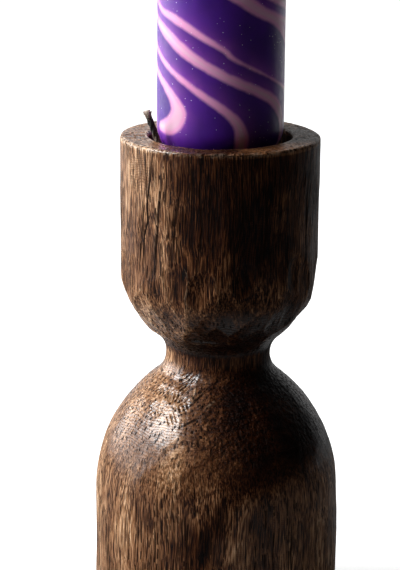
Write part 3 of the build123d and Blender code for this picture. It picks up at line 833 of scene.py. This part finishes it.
def turnedCandle(w):
    low, high, radius = candleLow.z, candleHigh.z, candleHigh.x
    return [
        ([(w["bore"], low + w["spikeHeight"]), (w["spikeTop"] + 0.2 * mm, low + w["spikeHeight"])],
         False),
        ([(w["spikeFoot"], low + w["collarTop"]), (w["collarHole"], low + w["collarTop"]),
          (w["collarHole"], low)], False),
        (straight((w["collarHole"] + 0.1 * mm, low), (radius - w["footRound"], low), 1.5 * mm), True),
        (arc((radius - w["footRound"], low + w["footRound"]), w["footRound"], -90, 0, w["step"]), True),
        (straight((radius, low + w["footRound"]), (radius, high - w["topRound"]), w["step"]), True),
        (arc((radius - w["topRound"], high - w["topRound"]), w["topRound"], 0, 90, w["step"]), True),
        (straight((radius - w["topRound"], high), (w["bore"], high), 1.2 * mm), True),
        ([(w["bore"], high)], False),
    ]


def marbledWax():
    material, tree, surface = newMaterial("marbledWax")
    place = placed(tree)
    away = attribute(tree, "band")
    fuzz = timesPlus(tree, noise(tree, place, 260.0, 3.0), 0.8, -0.4)
    band = ramp(tree, calc(tree, "ADD", away, fuzz), -wax["softEdge"], wax["softEdge"], 1.0, 0.0)
    cloud = ramp(tree, noise(tree, place, 90.0, 3.0), 0.3, 0.7)
    deep = mixed(tree, times(tree, cloud, 0.5), wax["purple"], wax["violet"])
    pale = mixed(tree, ramp(tree, away, -2.6, -0.6, 1.0, 0.0), wax["pink"], wax["blush"])
    haze = attribute(tree, "haze")
    veiled = mixed(tree, times(tree, haze, ramp(tree, cloud, 0.0, 1.0, 0.38, 0.74)), deep, wax["haze"])
    both = mixed(tree, band, veiled, pale)
    flecks = put(tree, "ShaderNodeTexVoronoi", {"Vector": place, "Scale": wax["fleckScale"]})
    rare = put(tree, "ShaderNodeSeparateColor", {0: flecks.outputs["Color"]}).outputs["Green"]
    fleck = times(tree, calc(tree, "GREATER_THAN", rare, 0.76),
                  ramp(tree, flecks.outputs["Distance"], 0.06, 0.14, 1.0, 0.0))
    tree.links.new(mixed(tree, times(tree, fleck, 0.9), both, wax["fleck"]), surface["Base Color"])
    height = parts(tree, place)["Z"]
    onTop = ramp(tree, height, candleHigh.z - 2.0 * mm, candleHigh.z - 0.5 * mm, 0.0, 0.4)
    gloss = calc(tree, "ADD", ramp(tree, noise(tree, place, 500.0, 3.0), 0.3, 0.7, 0.36, 0.48), onTop)
    tree.links.new(gloss, surface["Roughness"])
    surface["Subsurface Weight"].default_value = wax["throughWeight"]
    surface["Subsurface Radius"].default_value = wax["throughRadius"]
    surface["Subsurface Scale"].default_value = wax["throughScale"]
    surface["Specular IOR Level"].default_value = wax["shine"]
    surface["IOR"].default_value = wax["bend"]
    ripple = noise(tree, vector(tree, "MULTIPLY", place, (1.0, 1.0, 0.25)), 900.0, 2.0)
    bumped(tree, surface, ripple, 0.10, 0.0003)
    return material


candleMesh = latheMesh("waxPillar", turnedCandle(wax), wax["sides"], True)
for label, values in zip(("band", "haze"), bandMask(pointsOf(candleMesh))):
    keep(candleMesh, label, values)
candleMesh.materials.append(marbledWax())
pillar = addPiece("waxPillar", candleMesh)
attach(pillar, "candle")
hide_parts("candle")
print("waxPillar", len(candleMesh.polygons), "faces")


def strandTree():
    tree, given, out = newGroup("twistedStrands", "GeometryNodeTree", [
        ("Geometry", "Geometry", None), ("Strands", "Int", 3), ("Strand Radius", "Float", 0.0006),
        ("Lay Radius", "Float", 0.0005), ("Turns", "Float", 4.0), ("Frays", "Int", 16),
        ("Fray From", "Float", 0.84), ("Fray Reach", "Float", 0.0012), ("Fray Radius", "Float", 0.00012),
        ("Seed", "Int", 1), ("Material", "Material", None)], [("Geometry", "Geometry", None)])
    path = put(tree, "GeometryNodeResampleCurve", {"Curve": given["Geometry"], "Count": 90}).outputs[0]
    normal = put(tree, "GeometryNodeInputNormal").outputs[0]
    tangent = put(tree, "GeometryNodeInputTangent").outputs[0]
    side = vector(tree, "CROSS_PRODUCT", tangent, normal)
    along = put(tree, "GeometryNodeSplineParameter").outputs["Factor"]

    def around(angle, radius):
        first = scaled(tree, normal, times(tree, calc(tree, "COSINE", angle), radius))
        second = scaled(tree, side, times(tree, calc(tree, "SINE", angle), radius))
        return vector(tree, "ADD", first, second)

    def marked(curve):
        return stored(tree, curve, "along", along)

    def tube(curve, radius, sides):
        ring = put(tree, "GeometryNodeCurvePrimitiveCircle",
                   {"Resolution": sides, "Radius": radius}).outputs[0]
        return put(tree, "GeometryNodeCurveToMesh",
                   {"Curve": curve, "Profile Curve": ring, "Fill Caps": True}).outputs[0]

    copies = put(tree, "GeometryNodeDuplicateElements",
                 {"Geometry": marked(path), "Amount": given["Strands"]},
                 domain="SPLINE")
    share = calc(tree, "DIVIDE", copies.outputs["Duplicate Index"], given["Strands"])
    turn = times(tree, timesPlus(tree, along, given["Turns"], share), fullTurn)
    laid = shifted(tree, copies.outputs["Geometry"], around(turn, given["Lay Radius"]))
    rough = noise(tree, put(tree, "GeometryNodeInputPosition").outputs[0], 900.0, 2.0)
    thick = put(tree, "GeometryNodeSetCurveRadius",
                {"Curve": laid, "Radius": ramp(tree, rough, 0.3, 0.7, 0.82, 1.08)})
    strands = tube(thick.outputs[0], given["Strand Radius"], 10)

    end = put(tree, "GeometryNodeTrimCurve", {"Curve": marked(path), 2: given["Fray From"], 3: 1.0},
              mode="FACTOR")
    even = put(tree, "GeometryNodeResampleCurve", {"Curve": end.outputs[0], "Count": 9}).outputs[0]
    tufts = put(tree, "GeometryNodeDuplicateElements", {"Geometry": even, "Amount": given["Frays"]},
                domain="SPLINE")
    which = tufts.outputs["Duplicate Index"]

    def chance(low, high, offset):
        seed = calc(tree, "ADD", given["Seed"], offset)
        return put(tree, "FunctionNodeRandomValue", {2: low, 3: high, "ID": which, "Seed": seed},
                   data_type="FLOAT").outputs[1]

    spread = times(tree, calc(tree, "POWER", along, 1.6), given["Fray Reach"])
    spread = timesPlus(tree, spread, chance(0.1, 1.0, 1.0), times(tree, given["Lay Radius"], 0.9))
    stretch = scaled(tree, tangent, times(tree, along, chance(-0.0007, 0.0004, 3.0)))
    outward = around(times(tree, chance(0.0, 1.0, 5.0), fullTurn), spread)
    splayed = shifted(tree, tufts.outputs["Geometry"], vector(tree, "ADD", outward, stretch))
    thin = put(tree, "GeometryNodeSetCurveRadius",
               {"Curve": splayed, "Radius": ramp(tree, along, 0.2, 1.0, 1.3, 0.45)})
    frays = tube(thin.outputs[0], given["Fray Radius"], 6)
    joined = put(tree, "GeometryNodeJoinGeometry")
    tree.links.new(frays, joined.inputs[0])
    tree.links.new(strands, joined.inputs[0])
    return finishTree(tree, joined.outputs[0], given, out)


def wickMaterial(name, stops, rough):
    material, tree, surface = newMaterial(name)
    place = placed(tree)
    along = attribute(tree, "along")
    ragged = timesPlus(tree, noise(tree, place, 1400.0, 3.0), 0.3, calc(tree, "ADD", along, -0.15))
    threads = ramp(tree, noise(tree, place, 3800.0, 2.0), 0.3, 0.7, 0.55, 1.25)
    colour = toned(tree, ragged, stops)
    shade = put(tree, "ShaderNodeCombineColor", {0: threads, 1: threads, 2: threads}).outputs[0]
    tree.links.new(mixed(tree, 1.0, colour, shade, "MULTIPLY"), surface["Base Color"])
    tree.links.new(ramp(tree, threads, 0.5, 1.3, rough + 0.1, rough - 0.1), surface["Roughness"])
    bumped(tree, surface, threads, 0.7, 0.0002)
    return material


def wickPiece(name, node, body, points, values):
    curve = bpy.data.curves.new(name, "CURVE")
    curve.dimensions = "3D"
    spline = curve.splines.new("NURBS")
    spline.points.add(len(points) - 1)
    for point, place in zip(spline.points, points):
        point.co = (*place, 1.0)
    spline.use_endpoint_u = True
    spline.order_u = 3
    curve.resolution_u = 16
    piece = bpy.data.objects.new(name, curve)
    scene.collection.objects.link(piece)
    applyTree(piece, strands, values)
    piece = settle(piece, name)
    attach(piece, body)
    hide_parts(node)
    print(name, len(piece.data.polygons), "faces")
    return piece


strands = strandTree()
charred = wickMaterial("charredCotton", [
    (0.0, (0.30, 0.24, 0.19, 1)), (0.46, (0.22, 0.17, 0.135, 1)), (0.62, (0.006, 0.005, 0.005, 1)),
    (0.86, (0.005, 0.0045, 0.0045, 1)), (0.96, (0.50, 0.40, 0.33, 1))], 0.72)
waxed = wickMaterial("waxedCotton", [(0.0, (0.62, 0.57, 0.50, 1)), (1.0, (0.72, 0.68, 0.60, 1))], 0.55)
spent = {"bearing": 210.0, "lean": 23.0, "length": 22.7 * mm, "radius": 1.1 * mm, "edgeRound": 0.7 * mm,
         "rest": 0.05 * mm, "bow": 0.35 * mm}


def spentLine(s):
    lean, bearing = math.radians(s["lean"]), math.radians(s["bearing"])
    outward = Vector((math.cos(bearing), math.sin(bearing), 0))
    direction = outward * math.sin(lean) + Vector((0, 0, math.cos(lean)))
    reach = s["radius"] + s["edgeRound"] + s["rest"]
    edgeRadius = wood["socketRadius"] + s["edgeRound"] - reach * math.cos(lean)
    edgeHeight = wood["rimHeight"] - s["edgeRound"] + reach * math.sin(lean)
    footRadius = edgeRadius - (edgeHeight - candleLow.z) * math.tan(lean)
    foot = outward * footRadius + Vector((0, 0, candleLow.z))
    aside = direction.cross(outward).normalized()
    bows = (0.0, 0.4, -0.6, 0.5, 0.2)
    return [tuple(foot + direction * (s["length"] * i / 4) + aside * (s["bow"] * b))
            for i, b in enumerate(bows)]


wickPiece("charredStub", "spent_wick", "stand", spentLine(spent), {
    "Strands": 4, "Strand Radius": 0.00068, "Lay Radius": 0.00062, "Turns": 1.8, "Frays": 26,
    "Fray From": 0.86, "Fray Reach": 0.0014, "Fray Radius": 0.00017, "Seed": 4, "Material": charred})
wickLow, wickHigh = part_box("candle_wick")
wickTop = wickHigh.z - 0.6 * mm
wickPiece("cottonWick", "candle_wick", "candle",
          [(0, 0, wickLow.z), (0, 0, candleHigh.z - 4 * mm), (0, 0, candleHigh.z + 1 * mm),
           (0.2 * mm, 0.1 * mm, candleHigh.z + 5 * mm), (0.5 * mm, 0.2 * mm, wickTop)], {
    "Strands": 3, "Strand Radius": 0.00056, "Lay Radius": 0.00050, "Turns": 13.0, "Frays": 14,
    "Fray From": 0.985, "Fray Reach": 0.0004, "Fray Radius": 0.00010, "Seed": 9, "Material": waxed})


ironFinish = {"black": (0.022, 0.021, 0.021, 1), "grey": (0.075, 0.071, 0.068, 1),
              "rust": (0.10, 0.045, 0.022, 1)}
dowelFinish = {"late": (0.36, 0.24, 0.13, 1), "early": (0.66, 0.50, 0.33, 1),
               "pore": (0.22, 0.13, 0.07, 1)}
feltFinish = {"shade": (0.022, 0.030, 0.024, 1), "light": (0.085, 0.105, 0.088, 1), "sheen": 0.35,
              "sheenRough": 0.6}


def blackIron():
    material, tree, surface = newMaterial("blackIron")
    place = placed(tree)
    hammer = put(tree, "ShaderNodeTexVoronoi", {"Vector": place, "Scale": 420.0},
                 feature="SMOOTH_F1").outputs["Distance"]
    scale = noise(tree, place, 1500.0, 4.0, 0.6)
    rust = ramp(tree, noise(tree, place, 240.0, 4.0, 0.6), 0.52, 0.72)
    tone = mixed(tree, scale, ironFinish["black"], ironFinish["grey"])
    tree.links.new(mixed(tree, times(tree, rust, 0.55), tone, ironFinish["rust"]), surface["Base Color"])
    tree.links.new(ramp(tree, rust, 0.0, 1.0, 0.42, 0.75), surface["Roughness"])
    tree.links.new(ramp(tree, rust, 0.0, 1.0, 0.85, 0.25), surface["Metallic"])
    height = timesPlus(tree, hammer, 0.8, times(tree, scale, 0.2))
    bumped(tree, surface, height, 0.6, 0.0008)
    return material


def rawDowel(grain):
    material, tree, surface = newMaterial("rawDowelWood")
    got = useGroup(tree, grain, Place=placed(tree), Fibre_Width=0.0006, Pore_Gap=0.0011, Ring_Gap=0.0028)
    tone = mixed(tree, got["Tone"], dowelFinish["late"], dowelFinish["early"])
    tree.links.new(mixed(tree, times(tree, got["Pore"], 0.5), tone, dowelFinish["pore"]),
                   surface["Base Color"])
    tree.links.new(ramp(tree, got["Tone"], 0.2, 0.8, 0.72, 0.58), surface["Roughness"])
    bumped(tree, surface, got["Height"], 0.3, 0.0003)
    return material


def pressedFelt():
    material, tree, surface = newMaterial("pressedFelt")
    place = placed(tree)
    hairs = noise(tree, place, 2600.0, 4.0, 0.7)
    clumps = noise(tree, place, 380.0, 3.0)
    shade = timesPlus(tree, hairs, 0.6, times(tree, clumps, 0.5))
    tree.links.new(mixed(tree, ramp(tree, shade, 0.3, 0.8), feltFinish["shade"], feltFinish["light"]),
                   surface["Base Color"])
    tree.links.new(ramp(tree, hairs, 0.3, 0.7, 0.98, 0.88), surface["Roughness"])
    surface["Sheen Weight"].default_value = feltFinish["sheen"]
    surface["Sheen Roughness"].default_value = feltFinish["sheenRough"]
    bumped(tree, surface, shade, 0.9, 0.0006)
    return material


def repaint(node, material):
    nodes[node].data.materials.clear()
    nodes[node].data.materials.append(material)


iron = blackIron()
repaint("drip_plate", iron)
repaint("pricket", iron)
repaint("neck_dowel", rawDowel(grain))

felt = {"edge": 0.7 * mm, "sides": 240, "step": 1.4 * mm, "fuzz": 0.12 * mm}


def feltPiece(f):
    radius, low, high, edge = feltHigh.x, feltLow.z, feltHigh.z, f["edge"]
    rows = [
        ([(0.0, high)], False),
        (straight((f["step"], high), (radius, high), 8 * mm), False),
        (straight((radius, high), (radius, low + edge), 0.5 * mm), True),
        (arc((radius - edge, low + edge), edge, 0, -90, 0.25 * mm), True),
        (straight((radius - edge, low), (f["step"], low), f["step"]) + [(0.0, low)], True),
    ]
    mesh = latheMesh("feltDisc", rows, f["sides"], False)
    points = pointsOf(mesh)
    lift = np.random.default_rng(7).random(len(points)) * f["fuzz"]
    mesh.vertices.foreach_set("co", (points - pushOf(mesh) * lift[:, None]).ravel())
    mesh.materials.append(pressedFelt())
    piece = addPiece("feltDisc", mesh)
    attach(piece, "stand")
    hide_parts("felt_pad")
    print("feltDisc", len(mesh.polygons), "faces")


feltPiece(felt)

studio = {
    "floorHalf": 4.0, "floorTone": (0.75, 0.75, 0.75, 1), "floorBounce": (0.36, 0.36, 0.36, 1),
    "nearGlow": 0.66, "farGlow": 1.0, "mirrorGlow": 1.2, "aim": (0.0, 0.0, 0.12), "fillFront": 0.008,
    "fillBack": 0.40, "mirrorFront": 0.008, "mirrorBack": 0.90,
    "backdrop": (0.35, 0.9), "glowSpan": (0.10, 1.0), "fillSpan": (0.0, 0.9), "mirrorSpan": (0.60, 0.92),
    "floorRough": 0.95,
    # place, width, height and power of each lamp
    "lamps": {"windowLight": ((-0.87, -0.145, 0.78), 0.68, 0.52, 19.0),
              "sillLight": ((-1.06, 0.34, 0.28), 1.20, 0.50, 12.5)},
}


def studioFloor(s):
    half = s["floorHalf"]
    mesh = bpy.data.meshes.new("paperFloor")
    mesh.from_pydata([(-half, -half, 0), (half, -half, 0), (half, half, 0), (-half, half, 0)], [],
                     [(0, 1, 2, 3)])
    floor = addPiece("paperFloor", mesh)
    material, tree, surface = newMaterial("palePaper")
    light = put(tree, "ShaderNodeLightPath").outputs
    place = placed(tree)
    behind = ramp(tree, parts(tree, place)["Y"], *s["backdrop"])
    away = ramp(tree, vector(tree, "LENGTH", place), *s["glowSpan"], s["nearGlow"], s["farGlow"])
    glow = times(tree, light["Is Camera Ray"], away)
    glow = timesPlus(tree, light["Is Glossy Ray"], times(tree, behind, s["mirrorGlow"]), glow)
    tree.links.new(mixed(tree, light["Is Camera Ray"], s["floorBounce"], s["floorTone"]),
                   surface["Base Color"])
    surface["Roughness"].default_value = s["floorRough"]
    surface["Specular IOR Level"].default_value = 0.0
    surface["Emission Color"].default_value = (1, 1, 1, 1)
    tree.links.new(glow, surface["Emission Strength"])
    mesh.materials.append(material)


def softbox(name, place, aim, width, height, power):
    lamp = bpy.data.lights.new(name, "AREA")
    lamp.shape = "RECTANGLE"
    lamp.size, lamp.size_y, lamp.energy = width, height, power
    holder = bpy.data.objects.new(name, lamp)
    scene.collection.objects.link(holder)
    holder.location = place
    holder.rotation_euler = (Vector(aim) - Vector(place)).to_track_quat("-Z", "Y").to_euler()


def studioWorld(s):
    world = bpy.data.worlds.new("paleStudio")
    scene.world = world
    world.use_nodes = True
    tree = world.node_tree
    background = tree.nodes["Background"]
    background.inputs["Color"].default_value = (1, 1, 1, 1)
    heading = parts(tree, put(tree, "ShaderNodeTexCoord").outputs["Generated"])["Y"]
    fill = ramp(tree, heading, *s["fillSpan"], s["fillFront"], s["fillBack"])
    mirror = ramp(tree, heading, *s["mirrorSpan"], s["mirrorFront"], s["mirrorBack"])
    light = put(tree, "ShaderNodeLightPath").outputs
    strength = crossFade(tree, light["Is Glossy Ray"], fill, mirror)
    tree.links.new(calc(tree, "MAXIMUM", strength, light["Is Camera Ray"]), background.inputs["Strength"])


studioFloor(studio)
for lampName, (lampPlace, lampWidth, lampHeight, lampPower) in studio["lamps"].items():
    softbox(lampName, lampPlace, studio["aim"], lampWidth, lampHeight, lampPower)
studioWorld(studio)

shot = {"place": (0.0, -0.932861, 0.379641), "yaw": -0.457, "pitch": 14.465, "roll": 0.5, "lens": 152.04,
        "sensor": 36.0, "far": 30.0}


def aimCamera(s):
    lens = bpy.data.cameras.new("photoCamera")
    lens.lens = s["lens"]
    lens.sensor_width = s["sensor"]
    lens.clip_end = s["far"]
    camera = bpy.data.objects.new("photoCamera", lens)
    scene.collection.objects.link(camera)
    yaw, pitch, roll = (math.radians(s[k]) for k in ("yaw", "pitch", "roll"))
    ahead = Vector((math.sin(yaw) * math.cos(pitch), math.cos(yaw) * math.cos(pitch), -math.sin(pitch)))
    right = Vector((math.cos(yaw), -math.sin(yaw), 0))
    up = right.cross(ahead)
    x = right * math.cos(roll) + up * math.sin(roll)
    y = up * math.cos(roll) - right * math.sin(roll)
    camera.matrix_world = Matrix.Translation(s["place"]) @ Matrix((x, y, -ahead)).transposed().to_4x4()
    scene.camera = camera


aimCamera(shot)
scene.view_settings.view_transform = "Standard"
print("studio and camera set")
